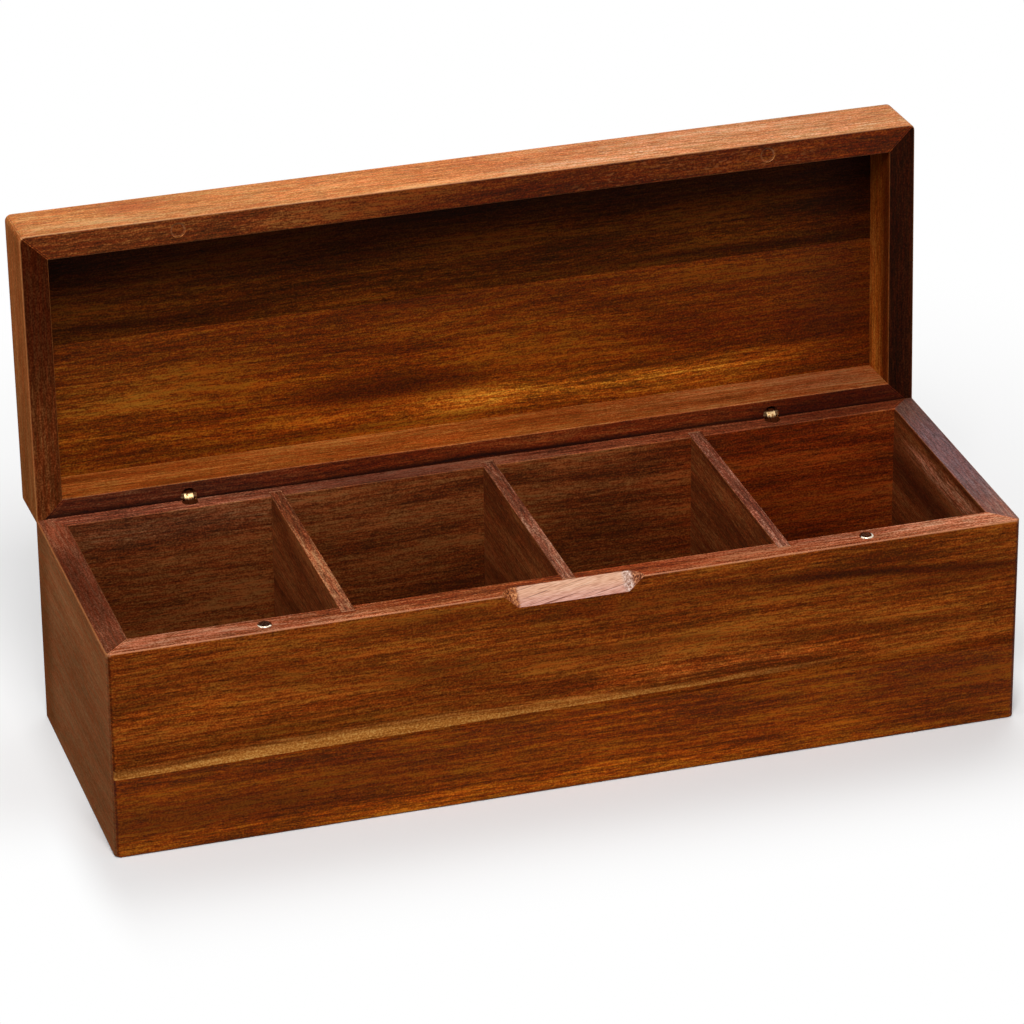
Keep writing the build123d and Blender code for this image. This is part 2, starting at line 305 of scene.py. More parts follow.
def sapwood(shader, colour, point, normals, streaks, speckle):
    """Pale band of sapwood low on the front's upper strip: sharp below, soft above.

    It starts on the glue seam at the left end, rises a little and thins out to the right.
    """
    thickest_at, spread, thickness, least = -84.0, 58.0, 2.8, 1.4
    rise = 0.011  # of its lower edge for each millimetre along the board
    thin_from, thin_by = 10.0, 60.0
    fades_from, gone_by = 30.0, 118.0
    x, _, z = point
    low_edge = shader.math("MULTIPLY_ADD", x, rise, SEAM + rise * HALF_LENGTH)
    height = shader.math("SUBTRACT", z, low_edge)
    away = shader.math("DIVIDE", shader.math("SUBTRACT", x, thickest_at), spread)
    away = shader.math("ABSOLUTE", away)
    swell = shader.math("EXPONENT", shader.times(shader.math("POWER", away, 2.5), -1.0))
    thick = shader.math("MULTIPLY_ADD", swell, thickness, least)
    uneven = shader.math("MULTIPLY_ADD", streaks, 3.0, -1.5)
    above = shader.math("SUBTRACT", height, shader.math("ADD", thick, uneven))
    narrow = shader.math("MULTIPLY_ADD", shader.between(x, thin_from, thin_by), 1.6, 1.0)
    body = shader.between(shader.times(above, narrow), 3.0, -2.2)
    fade = shader.math("MULTIPLY_ADD", shader.between(x, 20.0, -60.0), 0.18, 0.82)
    fade = shader.times(fade, shader.between(x, gone_by, fades_from))
    front = facing(shader, normals, "-Y")
    speckled = shader.math("ADD", speckle, shader.math("MULTIPLY_ADD", streaks, 1.2, -0.6))
    pale = shader.tones(speckled, SAPWOOD)
    under = shader.between(height, 0.15, -0.1)
    colour = shader.tint(shader.times(under, front), colour, UNDER_SAPWOOD)
    over = shader.math("SUBTRACT", 1.0, under)
    return shader.mix(shader.times(body, over, fade, front, 0.9), colour, pale)


def scoop(shader, colour, point, normals, streaks, speckle):
    """Bare, paler wood of the finger scoop, cut slanting through the grain."""
    x, y, z = point
    rise = 0.13  # of the grain along the scoop
    into_front = shader.math("SUBTRACT", y, FRONT)
    under_rim = shader.math("SUBTRACT", RIM, z)
    inside = shader.times(
        shader.between(shader.math("ABSOLUTE", x), SCOOP_HALF_LENGTH, SCOOP_HALF_LENGTH - 0.3),
        shader.between(into_front, CUT_IN, 2 * CUT_IN),
        shader.between(under_rim, CUT_IN, 2 * CUT_IN),
        shader.between(under_rim, SCOOP_DEPTH + 1.0, SCOOP_DEPTH),
        shader.between(into_front, WALL - 2.0, WALL - 3.0),
    )
    grain = shader.node("CombineXYZ", (x, y, shader.math("MULTIPLY_ADD", x, -rise, z))).outputs[0]
    lines = shader.noise(grain, (34, 4.0, 0.26), 1.0, 0.5, 4.2)
    dashes = shader.noise(grain, (9, 0.34, 0.3), 1.0, 0.5, 4.9)
    uneven = shader.math("MULTIPLY_ADD", dashes, 0.9, shader.math("MULTIPLY_ADD", lines, 0.7, -0.3))
    bare = shader.tones(uneven, SCOOP)
    low = shader.between(under_rim, 1.5, 5.0)
    bare = shader.tint(low, bare, SCOOP_LOW)
    open_pores = shader.between(shader.noise(grain, (26, 4.0, 0.24), 0.0, 0.5, 8.8), 0.67, 0.72)
    bare = shader.mix(shader.times(open_pores, 0.75), bare, srgb(*SCOOP_PORES))
    grit = shader.noise(grain, (0.8, 0.8, 0.8), 2.0, 0.6)
    gritty = shader.math("MULTIPLY_ADD", grit, 2.6, -0.8)
    # Towards its ends the cut meets gritty end grain, which is browned at the tips.
    left_end = shader.between(x, -19.0, -20.5)
    right_end = shader.between(x, 18.5, 20.5)
    bare = shader.mix(shader.times(left_end, 0.9), bare, shader.tones(gritty, SCOOP_LEFT))
    bare = shader.mix(shader.times(right_end, 0.75), bare, shader.tones(gritty, SCOOP_RIGHT))
    tips = shader.between(shader.math("ABSOLUTE", x), 21.8, 23.4)
    bare = shader.mix(shader.times(tips, 0.9), bare, shader.tones(gritty, SCOOP_TIP))
    return shader.mix(inside, colour, bare)


def let_in_ends(shader, colour, point, normals, streaks, speckle):
    """Pale outline round a divider's end, where it is let into the long walls."""
    from_middle = shader.math("ABSOLUTE", point[1])
    end = shader.between(from_middle, DIVIDER_END - 0.75, DIVIDER_END - 0.35)
    return shader.mix(shader.times(end, 0.55), colour, srgb(*LET_IN_EDGE))


def magnet_radius(shader, point):
    """Distance from the upright axis that a magnet and the plug over it share."""
    x, y = point[:2]
    across = shader.math("SUBTRACT", shader.math("ABSOLUTE", x), PLUG_X)
    deep = shader.math("SUBTRACT", y, PLUG_Y)
    return shader.math("SQRT", shader.math("MULTIPLY_ADD", across, across, shader.times(deep, deep)))


def plug_glue_and_highlight(shader, colour, point, normals, streaks, speckle):
    """Pale glue line round a plug, with a painted highlight: stronger towards the lid's front, which
    faces up while the lid stands open.
    """
    from_axis = magnet_radius(shader, point)
    ring = shader.between(from_axis, PLUG_RADIUS - 0.85, PLUG_RADIUS - 0.4)
    highlight_side = shader.between(point[1], PLUG_Y + 1.0, PLUG_Y - 2.0)
    factor = shader.math("MULTIPLY_ADD", highlight_side, 0.35, 0.2)
    return shader.mix(shader.times(ring, factor), colour, srgb(*PLUG_GLUE_AND_HIGHLIGHT))


def light_specks(shader, colour, point, normals, streaks, speckle):
    """Short pale flecks in the right half of the lid's front rim."""
    x = point[0]
    grain = shader.node("CombineXYZ", point).outputs[0]
    dots = shader.between(shader.noise(grain, (2.2, 0.7, 0.7), 0.0, seed=6.3), 0.60, 0.78)
    where = shader.times(shader.between(x, 20.0, 60.0), shader.between(x, 150.0, 115.0))
    on_rim = facing(shader, normals, "-Z")
    return shader.mix(shader.times(dots, where, on_rim, 0.5), colour, srgb(*PALE_FLECK))


# Tones are dark, middle and light.
GOLDEN = ((86, 34, 4), (136, 61, 11), (186, 102, 30))
RED_BROWN = ((84, 31, 1), (132, 56, 3), (174, 92, 15))
SAPWOOD = ((156, 88, 26), (210, 131, 54), (240, 178, 94))
FRONT_RIM = ((86, 32, 10), (142, 66, 27), (200, 122, 76))
BACK_RIM = ((66, 26, 13), (120, 58, 34), (170, 102, 70))
LEFT_RIM = ((52, 18, 8), (98, 48, 29), (150, 90, 64))
# The right rim's greyish purple is partly the wood and partly a painted reflection of the white
# surroundings.
RIGHT_RIM_WOOD_AND_REFLECTION = ((84, 50, 44), (116, 76, 68), (148, 108, 98))
LEFT_END = ((120, 68, 38), (153, 94, 56), (182, 120, 80))
RIGHT_END = ((96, 42, 16), (136, 66, 26), (170, 98, 46))
ORANGE_TAN = ((148, 74, 18), (199, 117, 50), (234, 166, 98))
LID_LEFT_END = ((116, 58, 22), (160, 91, 46), (196, 126, 72))
LID_RIM = ((50, 15, 1), (92, 32, 4), (138, 68, 20))
LID_SIDE_RIM = ((48, 17, 4), (86, 37, 13), (130, 72, 34))
LID_DARK_RIM = ((24, 7, 2), (45, 15, 4), (68, 28, 10))
# A darker board, which also carries a painted shadow of the lid's front rail.
PANEL_DARK_AND_RAIL_SHADOW = ((42, 16, 1), (70, 28, 3), (104, 52, 9))
PANEL = ((72, 25, 1), (115, 47, 3), (156, 82, 14))
LEDGE = ((108, 44, 7), (156, 76, 22), (198, 122, 54))
LID_BACK_RIM = ((68, 20, 6), (116, 43, 12), (160, 82, 36))
INSIDE = ((76, 31, 11), (122, 57, 22), (162, 94, 48))
DIVIDER = ((72, 31, 16), (120, 64, 40), (182, 124, 92))
SCOOP = ((184, 122, 94), (230, 175, 143), (250, 210, 180))
SCOOP_LEFT = ((92, 36, 6), (166, 88, 36), (226, 154, 98))
SCOOP_RIGHT = ((96, 60, 44), (186, 150, 134), (242, 222, 212))
SCOOP_TIP = ((58, 22, 8), (136, 64, 24), (210, 134, 80))

# Single colours of small things
SCOOP_PORES = (112, 58, 38)
LET_IN_EDGE = (190, 134, 96)
# Glue line round the lid's plugs, with a painted highlight.
PLUG_GLUE_AND_HIGHLIGHT = (196, 136, 92)
PALE_FLECK = (160, 92, 48)
# Painted shade on the brass, down in its bores and low over the box's rim.
BORE_SHADE_BROWN = (66, 28, 11)

# Tints, which multiply the colour
PORE_SHADE = (0.3, 0.26, 0.24)
# Painted shade on the base's rounded edges and upright corners.
CORNER_SHADE = (0.5, 0.42, 0.40)
MITRE_PALE = (2.2, 2.1, 2.0)
MITRE_DARK = (0.4, 0.36, 0.34)
UNDER_SAPWOOD = (0.85, 0.74, 0.55)
SCOOP_LOW = (0.90, 0.82, 0.96)
# Painted shadow in the gap between the lid's back rim and the box's rim.
GAP_SHADOW_BLACK = (0.12, 0.10, 0.10)
DARKEST = (0.34, 0.26, 0.22)
DARK = (0.52, 0.45, 0.40)
DIM = (0.72, 0.66, 0.60)
OLIVE = (0.66, 0.68, 0.52)
WARM = (1.30, 1.26, 1.10)
# Painted reflection of the white surroundings, pinkish on the front rim's right end.
PINK_REFLECTION = (1.3, 1.6, 2.3)

# Each board's wood. Places and sizes are in millimetres in the closed box.
BOARDS = {
    "front_wall_upper": dict(
        along="X", tones=GOLDEN, seed=1, faces={"+Z": FRONT_RIM, "+Y": INSIDE},
        # Its rim edges are lightened: partly wear, partly a painted highlight.
        extras=(sapwood, scoop), edge_wear_and_highlight=(216, 144, 104), wear_and_highlight_strength=0.6, streak=1.3, fleck=0.95,
        specular=0.05,
        marks=(
            streak_mark("-Y", "XZ", (132, 67.0), (52, 1.7), DARKEST, slope=-0.08, broken=0.6),
            streak_mark("-Y", "XZ", (75, 71.5), (45, 1.6), DARK, slope=-0.08, broken=0.8),
            streak_mark("-Y", "XZ", (60, 69), (110, 4.5), DIM, slope=-0.05, broken=0.7),
            streak_mark("-Y", "XZ", (-61, 75), (28, 4.0), DIM),
            streak_mark("-Y", "XZ", (-103, 63), (24, 5.0), DIM),
            streak_mark("-Y", "XZ", (148, 60), (28, 4.0), DIM),
            streak_mark("-Y", "XZ", (-52, 57), (16, 2.6), DARK, broken=1.7),
            streak_mark("-Y", "XZ", (-38, 54), (38, 4.0), DIM),
            streak_mark("-Y", "XZ", (28, 53), (26, 1.6), DARK, slope=-0.04, broken=1.8),
            streak_mark("-Y", "XZ", (112, 46.5), (48, 1.7), DARK, slope=-0.05, broken=1.8),
            streak_mark("-Y", "XZ", (-80, 40.5), (70, 3.4), OLIVE, broken=0.6),
            streak_mark("-Y", "XZ", (66, 41.5), (46, 3.2), WARM, broken=0.6),
            streak_mark("-Y", "XZ", (-160, 59), (13, 1.6), DARK, broken=1.4),
            streak_mark("-Y", "XZ", (-140, 69), (32, 3.5), DIM, broken=0.8),
            streak_mark("-Y", "XZ", (-146, 54), (24, 3.5), WARM),
            streak_mark("-Y", "XZ", (20, 68), (22, 3.5), (0.78, 0.7, 0.7)),
            streak_mark("-Y", "XZ", (62, 75.5), (20, 3), (0.8, 0.74, 0.7)),
            streak_mark("-Y", "XZ", (61, 40.5), (28, 4), (1.16, 1.36, 1.9), broken=0.6),
            streak_mark("-Y", "XZ", (144, 54.5), (22, 3), (1.2, 1.2, 1.2)),
            # Painted reflection of the white surroundings on the right end of the front rim.
            streak_mark("+Z", "XY", (160, -51), (62, 20), PINK_REFLECTION, broken=0.3),
            streak_mark("+Z", "XY", (60, -51), (50, 20), (0.88, 0.80, 0.84), broken=0.3),
            streak_mark("+Z", "XY", (14, -50), (30, 6), (1.25, 1.14, 1.05), broken=0.3),
            streak_mark("+Z", "XY", (88, -48.5), (48, 3), (0.78, 0.76, 0.84), broken=0.3),
            streak_mark("+Z", "XY", (-130, -51), (52, 20), (0.92, 1.02, 1.45), broken=0.3),
            streak_mark("-Y", "XZ", (20, 40.5), (95, 4), (1.2, 1.12, 1.35), broken=0.6),
            streak_mark("-Y", "XZ", (-105, 49), (30, 3.5), (1.22, 1.18, 1.2), broken=0.6),
            streak_mark("-Y", "XZ", (20, 50), (18, 3), (0.85, 0.78, 0.85)),
            streak_mark("-Y", "XZ", (146, 64), (24, 4), (0.84, 0.76, 0.78)),
        )),
    "front_wall_lower": dict(
        along="X", tones=RED_BROWN, seed=2, faces={"+Y": INSIDE}, streak=1.3, fleck=0.95,
        marks=(
            streak_mark("-Y", "XZ", (-30, 2.8), (165, 4.2), (1.6, 1.8, 2.2), broken=0.5),
            streak_mark("-Y", "XZ", (-135, 13), (50, 6), DARK, broken=0.6),
            streak_mark("-Y", "XZ", (-70, 19), (30, 5), DIM, broken=0.7),
            streak_mark("-Y", "XZ", (145, 22), (34, 7), DIM, broken=0.7),
            streak_mark("-Y", "XZ", (20, 26), (30, 3.5), WARM, broken=0.7),
            streak_mark("-Y", "XZ", (70, 11), (70, 6), (1.2, 1.1, 1.0), broken=0.7),
            streak_mark("-Y", "XZ", (5, 22), (40, 6), (1.22, 1.18, 1.1), broken=0.7),
            streak_mark("-Y", "XZ", (-40, 4.5), (100, 3.5), (1.25, 1.2, 1.1), broken=0.7),
            streak_mark("-Y", "XZ", (146, 5), (26, 4), (0.75, 0.72, 0.7), broken=0.5),
        )),
    "back_wall": dict(
        along="X", tones=RED_BROWN, seed=3, faces={"+Z": BACK_RIM, "-Y": INSIDE},
        marks=(
            streak_mark("+Z", "XY", (150, 50), (34, 20), (0.70, 0.50, 0.35), broken=0.3),
            streak_mark("+Z", "XY", (80, 50), (40, 20), (1.35, 1.2, 1.0), broken=0.3),
            streak_mark("+Z", "XY", (-38, 50), (38, 20), (0.58, 0.55, 0.62), broken=0.3),
            streak_mark("+Z", "XY", (-140, 50), (50, 20), (1.7, 1.9, 2.2), broken=0.3),
            streak_mark("-Y", "XZ", (125, 60), (50, 80), (1.25, 0.72, 0.3), broken=0.3),
            streak_mark("-Y", "XZ", (-125, 76), (44, 7), (1.08, 1.35, 2.1), broken=0.3),
            streak_mark("-Y", "XZ", (0, 36), (400, 32), (0.74, 0.72, 0.60), broken=0.3),
        )),
    "left_wall": dict(
        along="Y", tones=LEFT_END, seed=4, faces={"+Z": LEFT_RIM, "+X": INSIDE},
        broad=0.5, streak=0.4, fleck=0.6, pores=0.2, specular=0.0,
        marks=(
            streak_mark("+Z", "YX", (45, -165), (20, 20), (1.6, 1.5, 1.4), broken=0.3),
            streak_mark("+Z", "YX", (-45, -165), (14, 20), (1.3, 1.45, 1.5), broken=0.3),
            streak_mark("-X", "YZ", (0, 70), (400, 12), (1.2, 1.2, 1.2), broken=0.2),
            streak_mark("-X", "YZ", (50, 40), (12, 60), (0.74, 0.64, 0.54), broken=0.2),
        )),
    "right_wall": dict(
        along="Y", tones=RIGHT_END, seed=5, faces={"+Z": RIGHT_RIM_WOOD_AND_REFLECTION, "-X": INSIDE}, broad=0.8,
        marks=(
            streak_mark("+Z", "YX", (6, 165), (34, 20), (0.88, 0.9, 1.1), broken=0.3),
            streak_mark("+Z", "YX", (-50, 165), (14, 20), (1.35, 1.2, 1.0), broken=0.3),
            streak_mark("+Z", "YX", (46, 165), (14, 20), (0.8, 0.7, 0.55), broken=0.3),
            streak_mark("-X", "YZ", (-8, 73.5), (32, 2.8), (2.3, 3.2, 6.5), slope=-0.045, broken=1.7),
            streak_mark("-X", "YZ", (10, 60), (60, 11), (0.5, 0.45, 0.5), broken=0.5),
            streak_mark("-X", "YZ", (0, 79.5), (400, 2.0), DARK, broken=0.3),
        )),
    "bottom_panel": dict(along="X", tones=INSIDE, seed=6, mitred=False),
    "divider_left": dict(
        along="Y", tones=INSIDE, seed=7, faces={"+Z": DIVIDER}, extras=(let_in_ends,), mitred=False,
        marks=(
            streak_mark("+Z", "YX", (0, -81), (60, 8), (1.3, 1.2, 0.95), broken=0.3),
        )),
    "divider_middle": dict(
        along="Y", tones=INSIDE, seed=8, faces={"+Z": DIVIDER}, extras=(let_in_ends,), mitred=False,
        marks=(
            streak_mark("+Z", "YX", (0, 0), (60, 8), (1.3, 1.4, 1.6), broken=0.3),
        )),
    "divider_right": dict(
        along="Y", tones=INSIDE, seed=9, faces={"+Z": DIVIDER}, extras=(let_in_ends,), mitred=False,
        marks=(
            streak_mark("+Z", "YX", (0, 81), (60, 8), (1.4, 1.4, 1.7), broken=0.3),
        )),
    "lid_front_rail": dict(
        along="X", tones=ORANGE_TAN, seed=10, in_lid=True,
        faces={"-Z": LID_RIM, "+Y": LID_DARK_RIM}, broad=0.9, streak=0.8, fleck=0.9,
        # Its rim edges are lightened: partly wear, partly a painted highlight.
        extras=(light_specks,), edge_wear_and_highlight=(222, 160, 112),
        marks=(
            streak_mark("-Z", "XY", (-120, -51), (60, 20), (1.7, 2.4, 4.2), broken=0.3),
            streak_mark("-Z", "XY", (150, -51), (40, 20), WARM, broken=0.3),
            streak_mark("-Y", "XZ", (105, 93), (85, 30), (1.04, 1.18, 1.95), broken=0.2),
            streak_mark("-Y", "XZ", (98, 86), (62, 5), (1.15, 1.25, 1.4), broken=0.3),
            streak_mark("-Y", "XZ", (22, 94.5), (24, 5), (1.14, 1.2, 1.3), broken=0.3),
            streak_mark("-Y", "XZ", (22, 87), (20, 4), (0.88, 0.92, 1.0), broken=0.3),
            streak_mark("-Y", "XZ", (-130, 86), (50, 5), (0.84, 0.88, 0.95), broken=0.3),
            streak_mark("-Y", "XZ", (-103, 102), (22, 4), (0.85, 0.8, 0.7)),
            streak_mark("-Y", "XZ", (-5, 93), (75, 30), (1.14, 1.08, 1.15), broken=0.2),
            streak_mark("-Y", "XZ", (-126, 97), (11, 5), (0.85, 0.68, 0.6)),
        )),
    "lid_back_rail": dict(
        along="X", tones=ORANGE_TAN, seed=11, in_lid=True,
        faces={"-Z": LID_BACK_RIM, "-Y": LEDGE}, broad=0.8, fleck=0.8,
        marks=(
            streak_mark("-Z", "XY", (150, 50), (40, 20), (0.36, 0.27, 0.26), broken=0.3),
            streak_mark("-Z", "XY", (-130, 50), (60, 20), (0.75, 1.1, 2.2), broken=0.3),
            # Painted shadow: near-black line where the lid's back rim meets the box's rim.
            streak_mark("-Z", "XY", (0, 53.4), (400, 1.3), GAP_SHADOW_BLACK, broken=0.0),
            streak_mark("-Y", "XZ", (110, 92), (70, 20), (0.92, 0.98, 1.5), broken=0.3),
            # Painted shade towards the corner with the lid's right rail.
            streak_mark("-Y", "XZ", (142, 91), (26, 20), (0.82, 0.76, 0.9), broken=0.3),
            streak_mark("-Y", "XZ", (-142, 96), (22, 6), (1.22, 1.26, 1.4), broken=0.3),
            streak_mark("-Y", "XZ", (-15, 87), (22, 4), (1.25, 1.15, 1.1), broken=0.3),
        )),
    "lid_left_rail": dict(
        along="Y", tones=LID_LEFT_END, seed=12, in_lid=True,
        faces={"-Z": LID_SIDE_RIM, "+X": LEDGE}, broad=0.6, streak=0.5, fleck=0.7,
        pores=0.2, specular=0.0,
        marks=(
            streak_mark("-Z", "YX", (-35, -165), (35, 20), (0.52, 0.42, 0.5), broken=0.3),
            streak_mark("-Z", "YX", (36, -165), (30, 20), (1.6, 1.7, 1.8), broken=0.3),
            streak_mark("-X", "YZ", (-32, 93), (40, 30), (1.35, 1.32, 1.35), broken=0.2),
        )),
    "lid_right_rail": dict(
        along="Y", tones=RIGHT_END, seed=13, in_lid=True,
        faces={"-Z": LID_DARK_RIM, "-X": LEDGE}, broad=0.7, specular=0.03,
        marks=(
            streak_mark("-X", "YZ", (0, 84.5), (80, 5), (0.32, 0.22, 0.18), broken=0.3),
            streak_mark("-X", "YZ", (-40, 92), (30, 30), (0.7, 0.62, 0.5), broken=0.3),
            streak_mark("-X", "YZ", (30, 95), (30, 6), (1.25, 1.3, 1.0), broken=0.3),
        )),
    "lid_panel_front": dict(
        # Its dark tones are partly a darker board and partly a painted shadow of the front rail.
        along="X", tones=PANEL_DARK_AND_RAIL_SHADOW, seed=14, in_lid=True, faces={"+Z": GOLDEN}, mitred=False,
        specular=0.05,
        marks=(
            # Painted shadow of the lid's front rail, darkest next to it.
            streak_mark("-Z", "XY", (0, -46), (400, 15), DARK, broken=0.2),
            streak_mark("-Z", "XY", (100, -8.5), (62, 1.5), DARK, broken=0.6),
            # Painted shade next to the lid's right rail.
            streak_mark("-Z", "XY", (160, -20), (22, 60), DARK, broken=0.3),
            streak_mark("-Z", "XY", (-110, -10), (44, 1.6), DARK, broken=0.8),
            streak_mark("-Z", "XY", (-55, -8), (62, 4), (1.5, 1.45, 1.2), broken=0.7),
            streak_mark("-Z", "XY", (115, -16), (55, 3), WARM),
            streak_mark("-Z", "XY", (-70, -17), (60, 3), WARM),
            streak_mark("-Z", "XY", (40, -28), (60, 3), (1.3, 1.25, 1.2)),
        )),
    "lid_panel_back": dict(
        along="X", tones=PANEL, seed=15, in_lid=True, faces={"+Z": GOLDEN}, mitred=False,
        marks=(
            streak_mark("-Z", "XY", (46, 37.8), (64, 5.0), (1.40, 2.0, 3.4), broken=0.2),
            streak_mark("-Z", "XY", (50, 39), (135, 5.0), (1.7, 1.8, 2.0), broken=0.3),
            streak_mark("-Z", "XY", (-60, 43.2), (80, 1.8), OLIVE, broken=0.5),
            streak_mark("-Z", "XY", (-146, 21), (34, 25), (1.3, 1.6, 2.4), broken=0.5),
            streak_mark("-Z", "XY", (-27, 29), (34, 5), DARK, broken=1.8),
            streak_mark("-Z", "XY", (-35, 19), (50, 4), WARM, broken=0.8),
            streak_mark("-Z", "XY", (0, -3), (45, 3), DIM, broken=0.8),
            streak_mark("-Z", "XY", (110, 22), (50, 9), (0.75, 0.58, 0.5), broken=0.5),
            streak_mark("-Z", "XY", (104, 2), (36, 5), DIM, broken=0.7),
            streak_mark("-Z", "XY", (-20, 31), (170, 8), (1.3, 1.3, 1.2), broken=0.4),
            streak_mark("-Z", "XY", (40, 40), (70, 5), (1.25, 1.3, 1.3), broken=0.4),
            # Painted shade next to the lid's right rail.
            streak_mark("-Z", "XY", (164, 10), (34, 60), DARK, broken=0.3),
        )),
    "magnet_plug_left": dict(
        along="X", tones=LID_RIM, seed=10, in_lid=True, extras=(plug_glue_and_highlight,), mitred=False,
        marks=(
            streak_mark("-Z", "XY", (-110, -51), (70, 20), (1.3, 1.7, 2.6), broken=0.3),
        )),
    "magnet_plug_right": dict(
        along="X", tones=LID_RIM, seed=10, in_lid=True, extras=(plug_glue_and_highlight,), mitred=False),
}


def metal(name, bright, dark, roughness, patch, shaded_in_bores=False, round_edge=0.0):
    """Plated or turned metal with fine scratches and faint tarnish in patches of a given size.

    round_edge is how wide the rounding of a magnet's rim looks, in millimetres.
    """
    shader = Shader(name)
    point, _ = closed_box(shader, False)
    tarnish = shader.noise(point, (patch, patch, patch), 2.0, 0.5, 2.0)
    colour = shader.mix(shader.between(tarnish, 0.45, 0.70), srgb(*bright), srgb(*dark))
    bare = 1.0
    uneven = shader.math("MULTIPLY_ADD", tarnish, 0.12, roughness - 0.06)
    # Painted shade where the brass lies in its bores: dark, dull and not metal there.
    if shaded_in_bores:
        bore_shade = bore_shade_cover(shader, point)
        colour = shader.mix(bore_shade, colour, srgb(*BORE_SHADE_BROWN))
        bare = shader.math("SUBTRACT", 1.0, bore_shade)
        uneven = shader.math("MULTIPLY_ADD", bore_shade, 0.4, uneven)
    shader.put(shader.surface["Base Color"], colour)
    shader.put(shader.surface["Metallic"], bare)
    shader.put(shader.surface["Specular IOR Level"], 0.0)
    shader.put(shader.surface["Roughness"], uneven)
    scratches = shader.noise(point, (1.5, 0.06, 0.06), 2.0, 0.6, 5.0)
    bump = shader.node("Bump", {"Strength": 0.08, "Distance": 0.00002, "Height": scratches})
    normal = bump.outputs[0]
    if round_edge:
        from_axis = magnet_radius(shader, shader.node("SeparateXYZ", (point,)).outputs)
        flat = shader.between(from_axis, MAGNET_RADIUS, MAGNET_RADIUS - round_edge)
        drop = round_edge / 3 / MM
        rounding = {"Strength": 1.0, "Distance": drop, "Height": flat, "Normal": normal}
        normal = shader.node("Bump", rounding).outputs[0]
    shader.put(shader.surface["Normal"], normal)
    return shader.material


def bore_shade_cover(shader, point):
    """Painted shade on the brass: dark down in its bores and low over the box's rim."""
    bright_within, dark_beyond = 1.9, 2.7
    bright_above, dark_below = 1.4, 0.5  # over the hinge line
    _, y, z = shader.node("SeparateXYZ", (point,)).outputs
    behind = shader.math("SUBTRACT", y, HINGE.y * MM)
    above = shader.math("SUBTRACT", z, HINGE.z * MM)
    square = shader.math("MULTIPLY_ADD", behind, behind, shader.times(above, above))
    deep = shader.between(shader.math("SQRT", square), bright_within, dark_beyond)
    return shader.math("MAXIMUM", deep, shader.between(above, bright_above, dark_below))


def dress():
    """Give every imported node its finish."""
    # The brass carries painted shade in its bores.
    brass = metal("turned_brass", (214, 180, 132), (140, 98, 58), roughness=0.34, patch=1.4,
                  shaded_in_bores=True)
    nickel = metal("nickel_plate", (226, 210, 188), (196, 180, 160), roughness=0.14, patch=3.0,
                   round_edge=0.7)
    for name, node in frame["nodes"].items():
        if name in BOARDS:
            material = wood(name, **BOARDS[name])
        elif "magnet" in name:
            material = nickel
        else:
            material = brass
        for slot in node.material_slots:
            slot.material = material


def seen_as_white(nodes, links):
    """1 for the rays that show the surroundings: camera, glossy and transmission rays."""
    seen = nodes.new("ShaderNodeLightPath").outputs
    shown = seen["Is Camera Ray"]
    for ray in ("Is Glossy Ray", "Is Transmission Ray"):
        either = nodes.new("ShaderNodeMath")
        either.operation = "MAXIMUM"
        links.new(shown, either.inputs[0])
        links.new(seen[ray], either.inputs[1])
        shown = either.outputs[0]
    return shown


FLOOR_LIFT = 0.42  # share of plain white behind the box, which grows to all of it far away
FLOOR_NEAR = 0.2  # metres from the middle
FLOOR_FAR = 0.45
SHADE_REACH = (0.008, 0.085)  # in front: no white up to the first distance, all white past the second
SHADE_AT_ENDS = 4.0  # how much faster the shade ends past the box's ends
SHADE_BACK = 0.06  # how far behind the front face this gives way to FLOOR_LIFT
FLOOR_SHOWN = (0.95, 0.95, 0.95, 1.0)  # as the camera sees it
FLOOR_BOUNCED = (0.25, 0.25, 0.25, 1.0)  # as it lights the box
FLOOR_HALF_WIDTH = 4.0
FLOOR_DROP = 0.0002  # keeps the floor out of the plane of the box's underside


def floor_material():
    """White floor: it shows the box's shadow to the camera and sends back less light than that."""
    shader = Shader("floor")
    shown = seen_as_white(shader.nodes, shader.links)
    point = shader.node("TexCoord").outputs["Object"]
    away = shader.node("VectorMath", (point,), operation="LENGTH").outputs["Value"]
    far = shader.between(away, FLOOR_NEAR, FLOOR_FAR)
    lift = shader.math("MULTIPLY_ADD", far, 1.0 - FLOOR_LIFT, FLOOR_LIFT)
    x, y, _ = shader.node("SeparateXYZ", (point,)).outputs
    ahead = shader.math("SUBTRACT", FRONT / MM, y)
    past_end = shader.math("SUBTRACT", shader.math("ABSOLUTE", x), HALF_LENGTH / MM)
    past_end = shader.times(shader.math("MAXIMUM", past_end, 0.0), SHADE_AT_ENDS)
    gap = shader.math("MAXIMUM", ahead, 0.0)
    gap = shader.math("SQRT", shader.math("MULTIPLY_ADD", gap, gap, shader.times(past_end, past_end)))
    clear = shader.math("SUBTRACT", shader.between(gap, *SHADE_REACH), lift)
    lift = shader.math("MULTIPLY_ADD", clear, shader.between(ahead, -SHADE_BACK, 0.0), lift)
    lift = shader.times(lift, shown)
    white = shader.node("BsdfDiffuse", {"Color": FLOOR_SHOWN})
    grey = shader.node("BsdfDiffuse", {"Color": FLOOR_BOUNCED})
    glow = shader.node("Emission", {"Color": (1.0, 1.0, 1.0, 1.0), "Strength": 1.0})
    surface = shader.node("MixShader", (shown, grey.outputs[0], white.outputs[0]))
    surface = shader.node("MixShader", (lift, surface.outputs[0], glow.outputs[0]))
    shader.links.new(surface.outputs[0], shader.nodes["Material Output"].inputs["Surface"])
    return shader.material


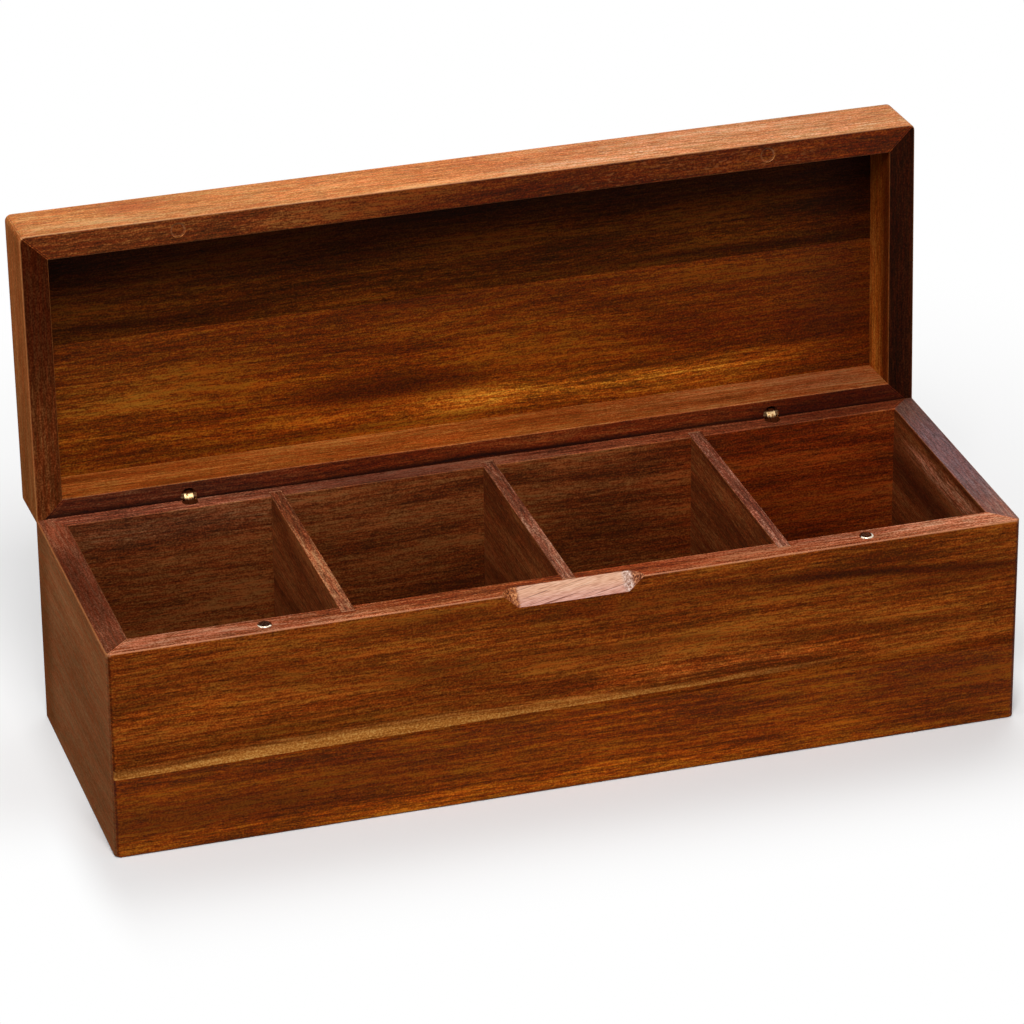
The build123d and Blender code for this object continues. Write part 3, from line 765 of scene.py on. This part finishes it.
def build_floor():
    half = FLOOR_HALF_WIDTH
    corners = [(-half, -half, 0), (half, -half, 0), (half, half, 0), (-half, half, 0)]
    mesh = bpy.data.meshes.new("floor")
    mesh.from_pydata(corners, [], [(0, 1, 2, 3)])
    mesh.materials.append(floor_material())
    floor = bpy.data.objects.new("floor", mesh)
    floor.location.z = -FLOOR_DROP
    bpy.context.scene.collection.objects.link(floor)


AMBIENT = 0.20  # strength of the surroundings as a light


def build_world():
    """Even white surroundings, seen by the camera and by shiny things as full white."""
    world = bpy.data.worlds.new("surroundings")
    world.use_nodes = True
    bpy.context.scene.world = world
    nodes, links = world.node_tree.nodes, world.node_tree.links
    strength = nodes.new("ShaderNodeMapRange")
    strength.inputs["To Min"].default_value = AMBIENT
    strength.inputs["To Max"].default_value = 1.0
    links.new(seen_as_white(nodes, links), strength.inputs["Value"])
    background = nodes["Background"]
    background.inputs["Color"].default_value = (1.0, 1.0, 1.0, 1.0)
    links.new(strength.outputs[0], background.inputs["Strength"])


LAMP_DISTANCE = 1.5  # metres
AIM_HEIGHT = 0.08


def build_lamp(name, azimuth, elevation, size, level):
    """Square soft lamp aimed at the box. level is how brightly it lights a white card facing it."""
    lamp = bpy.data.lights.new(name, "AREA")
    lamp.size = size
    lamp.energy = level * (pi * LAMP_DISTANCE) ** 2
    turn = Euler((radians(90 - elevation), 0.0, radians(azimuth)), "XYZ").to_matrix().to_4x4()
    aim = Matrix.Translation((0.0, 0.0, AIM_HEIGHT))
    lamp_object = bpy.data.objects.new(name, lamp)
    lamp_object.matrix_world = aim @ turn @ Matrix.Translation((0.0, 0.0, LAMP_DISTANCE))
    bpy.context.scene.collection.objects.link(lamp_object)


# Camera fitted to the corners of the photographed box
CAMERA_PLACE = (-0.50775, -1.66015, 0.93982)  # metres
CAMERA_TURN = (63.75, 0.513, -17.08)  # degrees
LENS, SENSOR_WIDTH = 187.5, 36.0  # millimetres


def build_camera():
    """Camera at the photograph's viewpoint, 17 degrees to the left of the front."""
    camera = bpy.data.cameras.new("camera")
    camera.sensor_width = SENSOR_WIDTH
    camera.lens = LENS
    camera.clip_end = 20.0
    camera_object = bpy.data.objects.new("camera", camera)
    camera_object.location = CAMERA_PLACE
    camera_object.rotation_euler = [radians(angle) for angle in CAMERA_TURN]
    bpy.context.scene.collection.objects.link(camera_object)
    bpy.context.scene.camera = camera_object


dress()
build_floor()
build_world()
build_lamp("key", azimuth=-14, elevation=57, size=0.45, level=0.64)
build_lamp("back", azimuth=155, elevation=55, size=1.0, level=0.28)
build_lamp("fill", azimuth=-75, elevation=25, size=0.9, level=0.20)
build_camera()
bpy.context.scene.view_settings.view_transform = "Standard"
